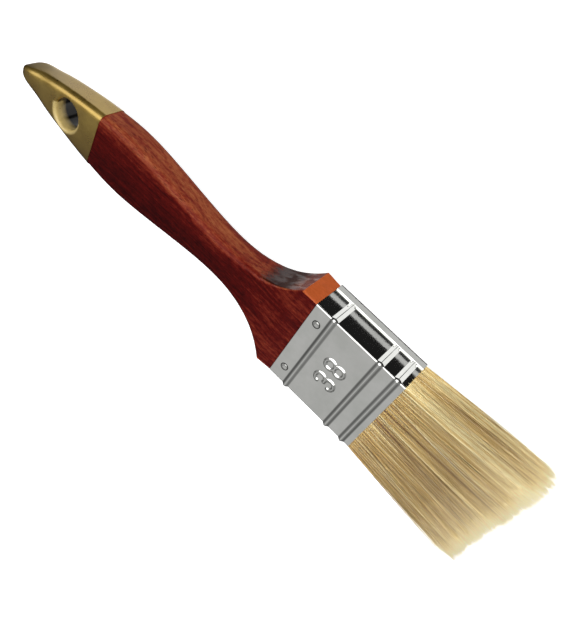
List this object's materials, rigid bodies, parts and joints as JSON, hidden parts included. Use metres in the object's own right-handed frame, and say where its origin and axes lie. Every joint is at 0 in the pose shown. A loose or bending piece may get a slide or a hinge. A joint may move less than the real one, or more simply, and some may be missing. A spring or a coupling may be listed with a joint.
{
  "type": "flat paint brush",
  "caption": "Flat varnish brush: lacquered beavertail wooden handle with an enamelled tip and hang hole, a beaded plated ferrule and a flexing tuft of blond bristle.",
  "frame": {"origin": "middle of the length and width, on the surface the brush lies on, touched by the ferrule's beads", "axes": "+X along the handle towards the bristle tips, +Z out of the front face, +Y across the width"},
  "size_m": [0.2415, 0.0476, 0.0172],
  "materials": {
    "stained_wood": "gloss lacquer over red-brown stain",
    "gold_enamel": "gold enamel, satin gloss",
    "plated_steel": "bright plated sheet",
    "nail_steel": "bright",
    "bristle": "natural blond bristle",
    "plug_wood": "bare",
    "resin": "cured amber resin"
  },
  "bodies": {
    "brush_body": {"handle": "stained_wood", "tip_dip_coat": "gold_enamel", "ferrule": "plated_steel", "nail_front_left": "nail_steel", "nail_front_right": "nail_steel", "nail_back_left": "nail_steel", "nail_back_right": "nail_steel", "epoxy_set": "resin", "filler_plug": "plug_wood", "front_bristle_butts": "bristle", "back_bristle_butts": "bristle"},
    "bristle_tuft": {"front_bristles": "bristle", "back_bristles": "bristle"}
  },
  "joints": [
    {"name": "bristle_flex", "type": "hinge", "parent": "brush_body", "child": "bristle_tuft", "pos_m": [0.0738, 0, 0.0086], "axis": [0, -1, 0], "range_deg": [-35, 35], "stiffness_Nm_per_rad": 0.3}
  ]
}
